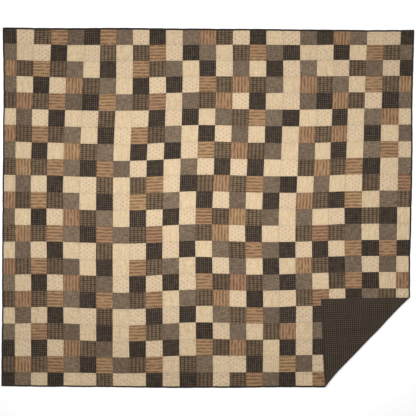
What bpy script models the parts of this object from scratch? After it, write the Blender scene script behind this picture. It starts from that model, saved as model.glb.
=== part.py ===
"""A king size patchwork quilt, laid flat face up, with its lower right corner folded over to show the backing.

The quilt is made flat in a plan of its own, x across and y up the quilt from its lower left corner, and z up from
the floor. Each flat piece is then eased out of true as cloth is, folded over at the corner and set on the origin.
"""

import math

import bmesh
import bpy
import numpy as np

# Size of the finished quilt and of its patches, in metres
WIDTH = 3.048
LENGTH = 2.667
PATCH_WIDTH = 0.1238
PATCH_HEIGHT = 0.1227
COLUMNS = 25
ROWS = 22

# Heights above the floor of the backing and of the quilted top, which holds its batting
BACKING_THICKNESS = 0.0012
CLEARANCE = 0.0003
SEAM_HEIGHT = 0.0040
PUFF = 0.0024
NEUTRAL = 0.0030

# Binding, a strip folded round the raw edges, which it pinches between its two legs
BINDING_WIDTH = 0.012
BINDING_HEIGHT = 0.0060
BINDING_CLOTH = 0.0013
BINDING_SHOULDER = 0.0013
BINDING_WALL = 0.0020
RAW_EDGE = 0.0028
PINCH_START = 0.0125
PINCH_END = 0.024
MITRE_GAP = 0.00015

# Fold of the corner, between a place on the foot and one on the side: a soft roll that turns past flat, and then
# eases down onto the quilt
FOLD_FOOT = (2.3875, 0.0)
FOLD_SIDE = (3.037, 0.685)
ROLL_RADIUS = 0.0090
ROLL_OVERTURN = math.radians(25)
ROLL_STEPS = 8
EASE_STEPS = 3
FLAP_LIFT = 0.0070
PRESSED_REACH = 0.03
CREEP_STEPS = 16
CREEP_REACH = 0.12

# How far the quilt lies out of true, in millimetres. Each row is named by its seam, counted down from the top, and
# its values are those at the columns named here, by their seams from the left
DRIFT_COLUMNS = (0, 3, 8, 12, 16, 19, 21, 25)
DRIFT_RIGHT = {
    0: (2, 16, 3, 3, 6, 10, 12, 15),
    4: (6, -1, 1, 0, 3, 8, -2, 3),
    8: (2, -15, -18, -12, -12, -8, -21, 2),
    12: (-2, -20, -22, -27, -28, -27, -33, -8),
    16: (-3, -16, -25, -24, -20, -24, -27, -19),
    22: (-9, -14, -24, -21, -22, -26, -22, 4),
}
DRIFT_UP = {
    0: (9, 6, 7, 2, -1, -6, -9, -9),
    1: (-2, -12, -14, -13, -13, -14, -14, -13),
    2: (1, -11, -12, -7, -7, -4, -4, -3),
    4: (7, -6, -12, 2, -4, -3, 1, 3),
    8: (4, -4, -17, 3, -7, -8, 3, 8),
    12: (-4, -4, -19, 2, -9, -5, 3, 7),
    16: (-4, -1, -17, 7, -3, 9, 15, 18),
    19: (0, 4, -12, 9, 2, 9, 13, 18),
    21: (5, 4, -2, 4, 5, 10, 12, 13),
    22: (8, 4, -1, -5, -1, 3, 5, 10),
}

# How far the folded edge lies outside a straight line, in millimetres, at even steps from its lower end up
FOLD_CREEP = (8, -4, -5, -3, -3, 0, -2, -1, 5)

CREAM = (0.76, 0.62, 0.42)
DARK = (0.035, 0.028, 0.022)
BLACK = (0.012, 0.010, 0.009)
CLOTH_ROUGHNESS = 0.9

# Level stretches of a panel are made of blocks this many cells across. Faces this flat and this level are one
BLOCK = "block"
BLOCK_CELLS = 9
FLAT_WITHIN = math.radians(0.02)
LEVEL_WITHIN = 1e-6


def seams(total, pitch, count):
    """Places of the seams from one raw edge to the other, with the two outer patches trimmed alike."""
    outer = (total - (count - 2) * pitch) / 2
    inner = [outer + pitch * i for i in range(count - 1)]
    return np.array([0.0, *inner, total])


COLUMN_SEAMS = seams(WIDTH, PATCH_WIDTH, COLUMNS)
ROW_SEAMS = seams(LENGTH, PATCH_HEIGHT, ROWS)


def curve_through(knots, values, at):
    """Smooth curve through the values at the knots, read at the given places."""
    knots = np.asarray(knots, float)
    values = np.asarray(values, float)
    slopes = np.gradient(values, knots, axis=0)
    i = np.clip(np.searchsorted(knots, at) - 1, 0, len(knots) - 2)
    span = knots[i + 1] - knots[i]
    t = np.clip((at - knots[i]) / span, 0, 1)
    if values.ndim == 1:
        a, b, slope_a, slope_b = values[i], values[i + 1], slopes[i], slopes[i + 1]
    else:
        n = np.arange(values.shape[1])
        a, b, slope_a, slope_b = values[i, n], values[i + 1, n], slopes[i, n], slopes[i + 1, n]
    return (
        a * (2 * t**3 - 3 * t**2 + 1)
        + b * (3 * t**2 - 2 * t**3)
        + span * (slope_a * (t**3 - 2 * t**2 + t) + slope_b * (t**3 - t**2))
    )


def drift(table, x, y):
    """Drift in metres at points of the plan, from a table of drifts at seams."""
    columns = COLUMN_SEAMS[list(DRIFT_COLUMNS)]
    rows = [LENGTH - ROW_SEAMS[row] for row in table]
    across = np.array([curve_through(columns, row, x) for row in table.values()])
    return curve_through(rows[::-1], across[::-1], y) / 1000


def eased(points):
    """The plan's points where the cloth lies, out of true but still flat."""
    x, y, z = points.T
    return np.stack([x + drift(DRIFT_RIGHT, x, y), y + drift(DRIFT_UP, x, y), z], 1)


def fold_frame():
    """Start of the fold at the quilt's foot, the direction along it and the one across it, to the corner."""
    foot = np.array(FOLD_FOOT)
    along = np.array(FOLD_SIDE) - foot
    along /= np.linalg.norm(along)
    across = np.array([along[1], -along[0]])
    return foot - across * (ROLL_RADIUS + NEUTRAL), along, across


def fold_lengths():
    """Length of cloth in the roll, the ease's radius, and the length of cloth in roll and ease together."""
    roll = ROLL_RADIUS * (math.pi + ROLL_OVERTURN)
    drop = ROLL_RADIUS * (1 + math.cos(ROLL_OVERTURN)) - FLAP_LIFT
    ease_radius = drop / (1 - math.cos(ROLL_OVERTURN))
    return roll, ease_radius, roll + ease_radius * ROLL_OVERTURN


def fold_stations():
    """Lengths of cloth past the fold's start at which it is creased into flat strips."""
    roll, _, whole = fold_lengths()
    return np.array([*np.linspace(0, roll, ROLL_STEPS + 1), *np.linspace(roll, whole, EASE_STEPS + 1)[1:]])


def fold_profile():
    """Distance across, height and turn of the fold's middle layer at each of its stations."""
    roll, ease_radius, _ = fold_lengths()
    past = fold_stations()
    in_roll = np.minimum(past, roll) / ROLL_RADIUS
    in_ease = np.maximum(past - roll, 0) / ease_radius
    end = math.pi + ROLL_OVERTURN
    across = ROLL_RADIUS * np.sin(in_roll) + ease_radius * (math.sin(end) - np.sin(end - in_ease))
    height = ROLL_RADIUS * (1 - np.cos(in_roll)) + ease_radius * (np.cos(end - in_ease) - math.cos(end))
    return across, height, in_roll - in_ease


def fold_creep():
    """Places along the folded edge at which it changes direction, and how far out of straight it lies there."""
    length = math.dist(FOLD_SIDE, FOLD_FOOT)
    places = np.linspace(0, length, CREEP_STEPS + 1)
    knots = np.linspace(0, length, len(FOLD_CREEP))
    return places, curve_through(knots, FOLD_CREEP, places) / 1000


def past_fold(x, y):
    """Distance of a point of the eased plan past the fold's start, towards the corner."""
    start, _, to_corner = fold_frame()
    return (np.array((x, y)) - start) @ to_corner


def folded(points):
    """The flat points with the corner folded over in flat strips, and the folded edge set out of straight."""
    start, along, to_corner = fold_frame()
    flat = points[:, :2] - start
    place, past = flat @ along, flat @ to_corner
    off = points[:, 2] - NEUTRAL
    stations = fold_stations()
    across, height, turn = fold_profile()
    reach = np.interp(past, stations, across) - off * np.interp(past, stations, np.sin(turn))
    reach += np.minimum(past, 0) - np.maximum(past - stations[-1], 0)
    z = NEUTRAL + np.interp(past, stations, height) + off * np.interp(past, stations, np.cos(turn))
    reach += np.interp(place, *fold_creep()) * np.exp(-((reach / CREEP_REACH) ** 2))
    xy = start + np.outer(place, along) + np.outer(reach, to_corner)
    return np.column_stack([xy, z])


def plan_lines(seam_places):
    """Lines of a panel's mesh between its raw edges: the pinch at the binding, the seams and the patches' middles."""
    total = seam_places[-1]
    middles = (seam_places[1:] + seam_places[:-1]) / 2
    inner = sorted([*seam_places[1:-1], *middles])
    near = [RAW_EDGE, PINCH_START, PINCH_END]
    return np.array([*near, *inner, *(total - d for d in near[::-1])])


def from_edge(x, y):
    """Distance of a point of the plan from the quilt's nearest edge."""
    return min(x, WIDTH - x, y, LENGTH - y)


def pinched(x, y, height, edge_height):
    """Height of a face that runs at one height in the quilt and at another under the binding."""
    share = (from_edge(x, y) - PINCH_START) / (PINCH_END - PINCH_START)
    share = min(max(share, 0), 1)
    return edge_height + (height - edge_height) * share


def puffed(x, y):
    """Height of the quilted face: low along the seams, raised in each patch, and pressed flat in the fold."""
    across = math.pi * (x - COLUMN_SEAMS[1]) / PATCH_WIDTH
    up = math.pi * (y - ROW_SEAMS[1]) / PATCH_HEIGHT
    rise = abs(math.sin(across) * math.sin(up))
    under_binding = BINDING_HEIGHT - BINDING_CLOTH - CLEARANCE
    loose = min(max(-past_fold(x, y) / PRESSED_REACH, 0), 1)
    return pinched(x, y, SEAM_HEIGHT, under_binding) + PUFF * rise * pinched(x, y, 1, 0) * loose


def block_of(i, j):
    """Number, from 1, of the block of cells that a cell of a panel belongs to."""
    return 1 + i // BLOCK_CELLS + (j // BLOCK_CELLS) * COLUMNS


def panel(name, lower, upper):
    """A closed panel of cloth between two faces, each given as its height at a place in the plan."""
    xs, ys = plan_lines(COLUMN_SEAMS), plan_lines(ROW_SEAMS)
    mesh = bmesh.new()
    block = mesh.faces.layers.int.new(BLOCK)
    faces = [[[mesh.verts.new((x, y, height(x, y))) for x in xs] for y in ys] for height in (lower, upper)]
    bottom, top = faces
    for j in range(len(ys) - 1):
        for i in range(len(xs) - 1):
            under = (bottom[j][i], bottom[j + 1][i], bottom[j + 1][i + 1], bottom[j][i + 1])
            over = (top[j][i], top[j][i + 1], top[j + 1][i + 1], top[j + 1][i])
            inside = from_edge(xs[i : i + 2].mean(), ys[j : j + 2].mean()) > PINCH_END
            for corners in (under, over):
                mesh.faces.new(corners)[block] = block_of(i, j) if inside else 0
    rim = [(j, 0) for j in range(len(ys) - 1, 0, -1)]
    rim += [(0, i) for i in range(len(xs) - 1)]
    rim += [(j, len(xs) - 1) for j in range(len(ys) - 1)]
    rim += [(len(ys) - 1, i) for i in range(len(xs) - 1, 0, -1)]
    for (j, i), (next_j, next_i) in zip(rim, rim[1:] + rim[:1]):
        mesh.faces.new((bottom[j][i], bottom[next_j][next_i], top[next_j][next_i], top[j][i]))
    return finished(name, mesh)


def binding_profile():
    """Outline of the binding as distance in from the quilt's edge and height, anticlockwise."""
    floor, roof = BINDING_CLOTH, BINDING_HEIGHT - BINDING_CLOTH
    return [
        (BINDING_WIDTH, 0),
        (BINDING_SHOULDER, 0),
        (0, BINDING_HEIGHT / 2),
        (BINDING_SHOULDER, BINDING_HEIGHT),
        (BINDING_WIDTH, BINDING_HEIGHT),
        (BINDING_WIDTH, roof),
        (BINDING_WALL, roof),
        (BINDING_WALL, floor),
        (BINDING_WIDTH, floor),
    ]


def binding_strip(name, seam_places, placed):
    """One side's strip of binding, mitred at both ends. placed turns (run, depth) into a place in the plan."""
    lines = plan_lines(seam_places)
    total = seam_places[-1]
    profile = binding_profile()
    rings = [[(depth + MITRE_GAP, depth, z) for depth, z in profile]]
    rings += [[(run, depth, z) for depth, z in profile] for run in lines[2:-2]]
    rings += [[(total - depth - MITRE_GAP, depth, z) for depth, z in profile]]
    mesh = bmesh.new()
    rings = [[mesh.verts.new((*placed(run, depth), z)) for run, depth, z in ring] for ring in rings]
    for ring, following in zip(rings, rings[1:]):
        for k in range(len(profile)):
            mesh.faces.new((ring[k], ring[k - 1], following[k - 1], following[k]))
    mesh.faces.new(rings[0])
    mesh.faces.new(rings[-1][::-1])
    bmesh.ops.recalc_face_normals(mesh, faces=mesh.faces)
    return finished(name, mesh)


def cut(mesh, faces, place, direction):
    """Cuts the faces by an upright plane, and marks the cut as a crease that stays."""
    edges = {edge for face in faces for edge in face.edges}
    vertices = {vertex for edge in edges for vertex in edge.verts}
    made = bmesh.ops.bisect_plane(
        mesh,
        geom=[*vertices, *edges, *faces],
        dist=1e-6,
        plane_co=(*place, 0),
        plane_no=(*direction, 0),
    )
    for part in made["geom_cut"]:
        if isinstance(part, bmesh.types.BMEdge):
            part.seam = True


def creased(mesh):
    """Cuts the flat mesh into the fold's strips, and each strip where the folded edge changes direction."""
    start, along, to_corner = fold_frame()
    stations = fold_stations()
    places = fold_creep()[0]
    for station in stations:
        cut(mesh, mesh.faces[:], start + to_corner * station, to_corner)
    for place in places:
        centres = [(face, face.calc_center_median()) for face in mesh.faces]
        strips = [face for face, centre in centres if 0 < past_fold(*centre.xy) < stations[-1]]
        if strips:
            cut(mesh, strips, start + along * place, along)


def merged(mesh):
    """Makes one face of the level faces in each block of a panel, or in each cell of the fold's strips."""
    start, along, to_corner = fold_frame()
    stations = fold_stations()
    places = fold_creep()[0]
    block = mesh.faces.layers.int.get(BLOCK)
    groups = {}
    for face in mesh.faces if block else []:
        heights = [vertex.co.z for vertex in face.verts]
        if not face[block] or max(heights) - min(heights) > LEVEL_WITHIN:
            continue
        centre = np.array(face.calc_center_median().xy) - start
        strip = int(np.searchsorted(stations, centre @ to_corner))
        in_fold = 0 < strip < len(stations)
        cell = int(np.searchsorted(places, centre @ along)) if in_fold else -face[block]
        groups.setdefault((strip, cell, heights[0]), []).append(face)
    for faces in groups.values():
        bmesh.ops.dissolve_faces(mesh, faces=faces)
    bmesh.ops.dissolve_limit(
        mesh,
        angle_limit=FLAT_WITHIN,
        verts=mesh.verts,
        edges=mesh.edges,
        delimit={"SEAM"},
    )


def finished(name, mesh):
    """The flat mesh eased, creased and folded over at the corner, as an object."""
    move(mesh, eased)
    creased(mesh)
    merged(mesh)
    move(mesh, folded)
    data = bpy.data.meshes.new(name)
    mesh.to_mesh(data)
    mesh.free()
    made = bpy.data.objects.new(name, data)
    bpy.context.scene.collection.objects.link(made)
    return made


def move(mesh, mapping):
    """Moves each vertex of the mesh as the mapping says."""
    points = mapping(np.array([vertex.co for vertex in mesh.verts]))
    for vertex, point in zip(mesh.verts, points):
        vertex.co = point


def material(name, colour):
    """A plain cloth material."""
    made = bpy.data.materials.new(name)
    made.use_nodes = True
    shader = made.node_tree.nodes["Principled BSDF"]
    shader.inputs["Base Color"].default_value = (*colour, 1)
    shader.inputs["Roughness"].default_value = CLOTH_ROUGHNESS
    shader.inputs["Metallic"].default_value = 0
    return made


def settle(pieces):
    """Sets the quilt on the floor, with the middle of its box on the origin."""
    corners = np.array([vertex.co for piece in pieces for vertex in piece.data.vertices])
    low, high = corners.min(0), corners.max(0)
    middle = (low + high) / 2
    for piece in pieces:
        piece.location = (-middle[0], -middle[1], -low[2])


def build():
    """Makes the quilt's six pieces."""
    for old in list(bpy.data.objects):
        bpy.data.objects.remove(old)

    backing_floor = BINDING_CLOTH + CLEARANCE
    backing_roof = backing_floor + BACKING_THICKNESS
    top = panel(
        "patchwork_top",
        lambda x, y: pinched(x, y, BACKING_THICKNESS + CLEARANCE, backing_roof + CLEARANCE),
        puffed,
    )
    backing = panel(
        "backing",
        lambda x, y: pinched(x, y, 0, backing_floor),
        lambda x, y: pinched(x, y, BACKING_THICKNESS, backing_roof),
    )
    strips = [
        binding_strip("binding_foot", COLUMN_SEAMS, lambda run, depth: (run, depth)),
        binding_strip("binding_head", COLUMN_SEAMS, lambda run, depth: (run, LENGTH - depth)),
        binding_strip("binding_left", ROW_SEAMS, lambda run, depth: (depth, run)),
        binding_strip("binding_right", ROW_SEAMS, lambda run, depth: (WIDTH - depth, run)),
    ]
    top.data.materials.append(material("pieced_cotton", CREAM))
    backing.data.materials.append(material("dark_check_cotton", DARK))
    black = material("black_cotton", BLACK)
    for strip in strips:
        strip.data.materials.append(black)
    settle([top, backing, *strips])


build()
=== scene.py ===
"""Looks of a king size patchwork quilt that lies face up with its lower right corner folded over.

The quilt is made flat in a plan of its own, x across and y up the quilt from its lower left corner, and z
up from the floor. Each cloth is then eased out of true as it lies, folded over at the corner and set where
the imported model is.
"""

from __future__ import annotations

import logging
import math
from collections.abc import Callable
from dataclasses import dataclass, field
from enum import Enum
from functools import cached_property, reduce

import bmesh
import bpy
import numpy as np
import numpy.typing as npt
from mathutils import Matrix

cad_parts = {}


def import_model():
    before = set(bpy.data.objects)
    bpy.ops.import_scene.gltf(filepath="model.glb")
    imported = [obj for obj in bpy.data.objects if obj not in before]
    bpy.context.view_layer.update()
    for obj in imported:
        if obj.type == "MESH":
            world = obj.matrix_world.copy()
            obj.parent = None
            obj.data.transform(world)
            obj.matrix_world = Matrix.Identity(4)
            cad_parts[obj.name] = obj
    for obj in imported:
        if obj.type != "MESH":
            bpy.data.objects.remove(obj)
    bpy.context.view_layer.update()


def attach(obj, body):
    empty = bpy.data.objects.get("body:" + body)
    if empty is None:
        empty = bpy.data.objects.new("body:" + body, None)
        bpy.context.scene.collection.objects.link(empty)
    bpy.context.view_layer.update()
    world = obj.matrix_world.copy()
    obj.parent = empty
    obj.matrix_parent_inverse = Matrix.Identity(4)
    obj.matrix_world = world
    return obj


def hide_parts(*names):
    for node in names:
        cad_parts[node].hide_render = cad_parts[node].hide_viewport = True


Array = npt.NDArray[np.float64]
Colour = tuple[float, float, float, float]
Size = tuple[float, float]
Range = tuple[float, float]
Value = bpy.types.NodeSocket | float | Colour
Height = Callable[[Array, Array], Array]

log = logging.getLogger("quilt")

MILLIMETRE = 0.001

# How far the quilt lies out of true, in millimetres. Each row is named by its seam, counted down from the
# top, and its values are those at the columns named here, by their seams from the left
DRIFT_COLUMNS = (0, 3, 8, 12, 16, 19, 21, 25)
DRIFT_RIGHT = {
    0: (2, 16, 3, 3, 6, 10, 12, 15),
    4: (6, -1, 1, 0, 3, 8, -2, 3),
    8: (2, -15, -18, -12, -12, -8, -21, 2),
    12: (-2, -20, -22, -27, -28, -27, -33, -8),
    16: (-3, -16, -25, -24, -20, -24, -27, -19),
    22: (-9, -14, -24, -21, -22, -26, -22, 4),
}
DRIFT_UP = {
    0: (9, 6, 7, 2, -1, -6, -9, -9),
    1: (-2, -12, -14, -13, -13, -14, -14, -13),
    2: (1, -11, -12, -7, -7, -4, -4, -3),
    4: (7, -6, -12, 2, -4, -3, 1, 3),
    8: (4, -4, -17, 3, -7, -8, 3, 8),
    12: (-4, -4, -19, 2, -9, -5, 3, 7),
    16: (-4, -1, -17, 7, -3, 9, 15, 18),
    19: (0, 4, -12, 9, 2, 9, 13, 18),
    21: (5, 4, -2, 4, 5, 10, 12, 13),
    22: (8, 4, -1, -5, -1, 3, 5, 10),
}

# Four-patch blocks: the cloths of the upper pair and of the lower pair, by the letters of Patch
BLOCKS = {
    "a": ("PV", "CG"),
    "b": ("PH", "SK"),
    "c": ("CG", "SK"),
}

# Blocks from the left in the two rows that repeat down the quilt, and down its tenth column of blocks. A
# capital is the block's mirror image, and the number is how many quarter turns to the left it is sewn in at
BLOCK_ROWS = ("a0 b0 c1 a1 b0 c0 a0 B2 C1", "A0 B0 a2 c2 B0 C0 b2 a2 c2")
TENTH_COLUMN = "c1 a2 c1 A0 a0 A0 b0 A0 b0 c0 a0"

# Blocks sewn in another way than the repeat, by row and column of blocks from the top left
BLOCK_CHANGES = {(0, 0): "c2", (0, 4): "B2", (0, 6): "A0", (4, 4): "B2", (4, 6): "B2", (9, 0): "C0"}

# Single patches put in from other cloth, by row and then column of patches from the top left
PATCH_CHANGES = {
    6: {17: "C"},
    7: {3: "C"},
    9: {13: "V"},
    14: {7: "C", 17: "C"},
    15: {7: "S", 17: "K"},
    17: {2: "C"},
    18: {7: "C", 16: "P", 17: "V"},
    19: {11: "C", 16: "C", 17: "K"},
    20: {11: "P", 12: "G", 13: "C", 17: "H", 18: "G", 19: "S"},
    21: {0: "K", 7: "S", 8: "C", 10: "C", 12: "P", 13: "S", 19: "H"},
}

# Scrap patches that finish each row at the right, from the top row down. The first rows come again at the
# foot, where the fold hides them
SCRAPS = (
    "VGCSK KCHPG SPGSK GCHPV VPSKG KCGVS VSKCG KCGHS PHKCG "
    "CSPSH KHCGP SKPKC PGCGC SHKHK KGSGC PHKCV CKGPS"
).split()


def linear(red: int, green: int, blue: int) -> Colour:
    """Scene-linear colour of a screen colour.

    Args:
        red: Red, from 0 to 255.
        green: Green, from 0 to 255.
        blue: Blue, from 0 to 255.

    Returns:
        The colour with an alpha of 1.
    """
    parts = [level / 255 for level in (red, green, blue)]
    red, green, blue = (c / 12.92 if c <= 0.04045 else ((c + 0.055) / 1.055) ** 2.4 for c in parts)
    return red, green, blue, 1.0


def curve_through(knots: Array, values: Array, at: Array) -> Array:
    """Smooth curve through values at knots.

    Args:
        knots: Rising places of the values.
        values: A value at each knot, or a row of values at each knot with one column for each place read.
        at: Places at which the curve is read.

    Returns:
        The curve's value at each place.
    """
    knots = np.asarray(knots, float)
    values = np.asarray(values, float)
    slopes = np.gradient(values, knots, axis=0)
    i = np.clip(np.searchsorted(knots, at) - 1, 0, len(knots) - 2)
    span = knots[i + 1] - knots[i]
    t = np.clip((at - knots[i]) / span, 0, 1)
    column = () if values.ndim == 1 else (np.arange(values.shape[1]),)
    start, end = values[(i, *column)], values[(i + 1, *column)]
    leaving, arriving = slopes[(i, *column)], slopes[(i + 1, *column)]
    return (
        start * (2 * t**3 - 3 * t**2 + 1)
        + end * (3 * t**2 - 2 * t**3)
        + span * (leaving * (t**3 - 2 * t**2 + t) + arriving * (t**3 - t**2))
    )


def move(mesh: bmesh.types.BMesh, mapping: Callable[[Array], Array]) -> None:
    """Moves every vertex of a mesh.

    Args:
        mesh: The mesh to change.
        mapping: Turns an array of points into where they go.
    """
    points = mapping(np.array([vertex.co for vertex in mesh.verts]))
    for vertex, point in zip(mesh.verts, points):
        vertex.co = point


# The quilt's plan


@dataclass(frozen=True)
class Plan:
    """The quilt laid flat: its size, its seams, and how far the cloth lies out of true."""

    width: float = 3.048
    length: float = 2.667
    columns: int = 25
    rows: int = 22
    patch_width: float = 0.1238
    patch_height: float = 0.1227
    middle: tuple[float, float] = (1.5270, 1.3355)
    crown_power: float = 2.4
    crown_round: float = 0.65
    scallop: float = 0.0015
    scallop_reach: float = 0.04
    wander: float = 0.0013
    wander_seed: int = 5
    least_loft: float = 0.65
    loft_seed: int = 9

    @staticmethod
    def seams(total: float, pitch: float, count: int) -> Array:
        """Places of the seams from one raw edge to the other, with the two outer patches trimmed alike.

        Args:
            total: Distance between the raw edges.
            pitch: Size of a full patch.
            count: Number of patches.

        Returns:
            The two raw edges and the seams between them.
        """
        outer = (total - (count - 2) * pitch) / 2
        return np.array([0.0, *(outer + pitch * i for i in range(count - 1)), total])

    @cached_property
    def column_seams(self) -> Array:
        """Seams from left to right."""
        return self.seams(self.width, self.patch_width, self.columns)

    @cached_property
    def row_seams(self) -> Array:
        """Seams from the foot up."""
        return self.seams(self.length, self.patch_height, self.rows)

    @cached_property
    def crossings(self) -> Array:
        """How far each crossing of seams is off its place, as rows from the foot, columns and (right, up)."""
        draw = np.random.default_rng(self.wander_seed)
        return draw.uniform(-self.wander, self.wander, (self.rows + 1, self.columns + 1, 2))

    @cached_property
    def lofts(self) -> Array:
        """Share of the full loft that each patch has, in rows from the foot."""
        return np.random.default_rng(self.loft_seed).uniform(self.least_loft, 1.0, (self.rows, self.columns))

    def loft(self, x: Array, y: Array) -> Array:
        """Share of the full loft at points of the plan."""
        column = np.clip(np.searchsorted(self.column_seams, x) - 1, 0, self.columns - 1)
        row = np.clip(np.searchsorted(self.row_seams, y) - 1, 0, self.rows - 1)
        return self.lofts[row, column]

    def drift(self, table: dict[int, tuple[int, ...]], x: Array, y: Array) -> Array:
        """Drift in metres at points of the plan.

        Args:
            table: Drifts in millimetres at seams, as DRIFT_RIGHT has them.
            x: Places across the quilt.
            y: Places up the quilt.

        Returns:
            The drift at each point.
        """
        knots = self.column_seams[list(DRIFT_COLUMNS)]
        rows = [self.length - self.row_seams[row] for row in table]
        across = np.array([curve_through(knots, row, x) for row in table.values()])
        return curve_through(rows[::-1], across[::-1], y) * MILLIMETRE

    def off_crossings(self, x: Array, y: Array) -> tuple[Array, Array]:
        """Shift of points between crossings of seams that were sewn a little off their places.

        Args:
            x: Places across the quilt.
            y: Places up the quilt.

        Returns:
            The shifts to the right and up.
        """
        i = np.interp(x, self.column_seams, np.arange(self.columns + 1))
        j = np.interp(y, self.row_seams, np.arange(self.rows + 1))
        column = np.minimum(i.astype(int), self.columns - 1)
        row = np.minimum(j.astype(int), self.rows - 1)
        s, t = (i - column)[:, None], (j - row)[:, None]
        at = self.crossings
        shift = (at[row, column] * (1 - s) + at[row, column + 1] * s) * (1 - t)
        shift += (at[row + 1, column] * (1 - s) + at[row + 1, column + 1] * s) * t
        return shift[:, 0], shift[:, 1]

    def crown(self, place: Array, first: float, pitch: float) -> Array:
        """How far cloth stands off its seams in one direction.

        Args:
            place: Places across the seams.
            first: Place of one seam.
            pitch: Distance from a seam to the next.

        Returns:
            0 on a seam and 1 midway between two.
        """
        off_middle = np.abs(2 * (((place - first) / pitch) % 1) - 1)
        return (1 - off_middle**self.crown_power) ** self.crown_round

    def crowns(self, x: Array, y: Array) -> tuple[Array, Array]:
        """Crowns between the upright seams and between the level ones, at points of the plan."""
        across = self.crown(x, self.column_seams[1], self.patch_width)
        return across, self.crown(y, self.row_seams[1], self.patch_height)

    def scallops(self, x: Array, y: Array) -> tuple[Array, Array]:
        """Shift of points by the lines of quilting, which draw the edges in where they meet them.

        Args:
            x: Places across the quilt.
            y: Places up the quilt.

        Returns:
            The shifts to the right and up.
        """
        across, up = self.crowns(x, y)
        near_sides = np.exp(-x / self.scallop_reach) - np.exp((x - self.width) / self.scallop_reach)
        near_ends = np.exp(-y / self.scallop_reach) - np.exp((y - self.length) / self.scallop_reach)
        return self.scallop * near_sides * (1 - up), self.scallop * near_ends * (1 - across)

    def eased(self, points: Array) -> Array:
        """Points of the flat plan where the cloth lies, out of true but still flat."""
        x, y, z = points.T
        shifts = (
            (self.drift(DRIFT_RIGHT, x, y), self.drift(DRIFT_UP, x, y)),
            self.off_crossings(x, y),
            self.scallops(x, y),
        )
        return np.stack([x + sum(s[0] for s in shifts), y + sum(s[1] for s in shifts), z], 1)

    def on_origin(self, points: Array) -> Array:
        """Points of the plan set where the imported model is."""
        return points - np.array([*self.middle, 0.0])


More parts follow.
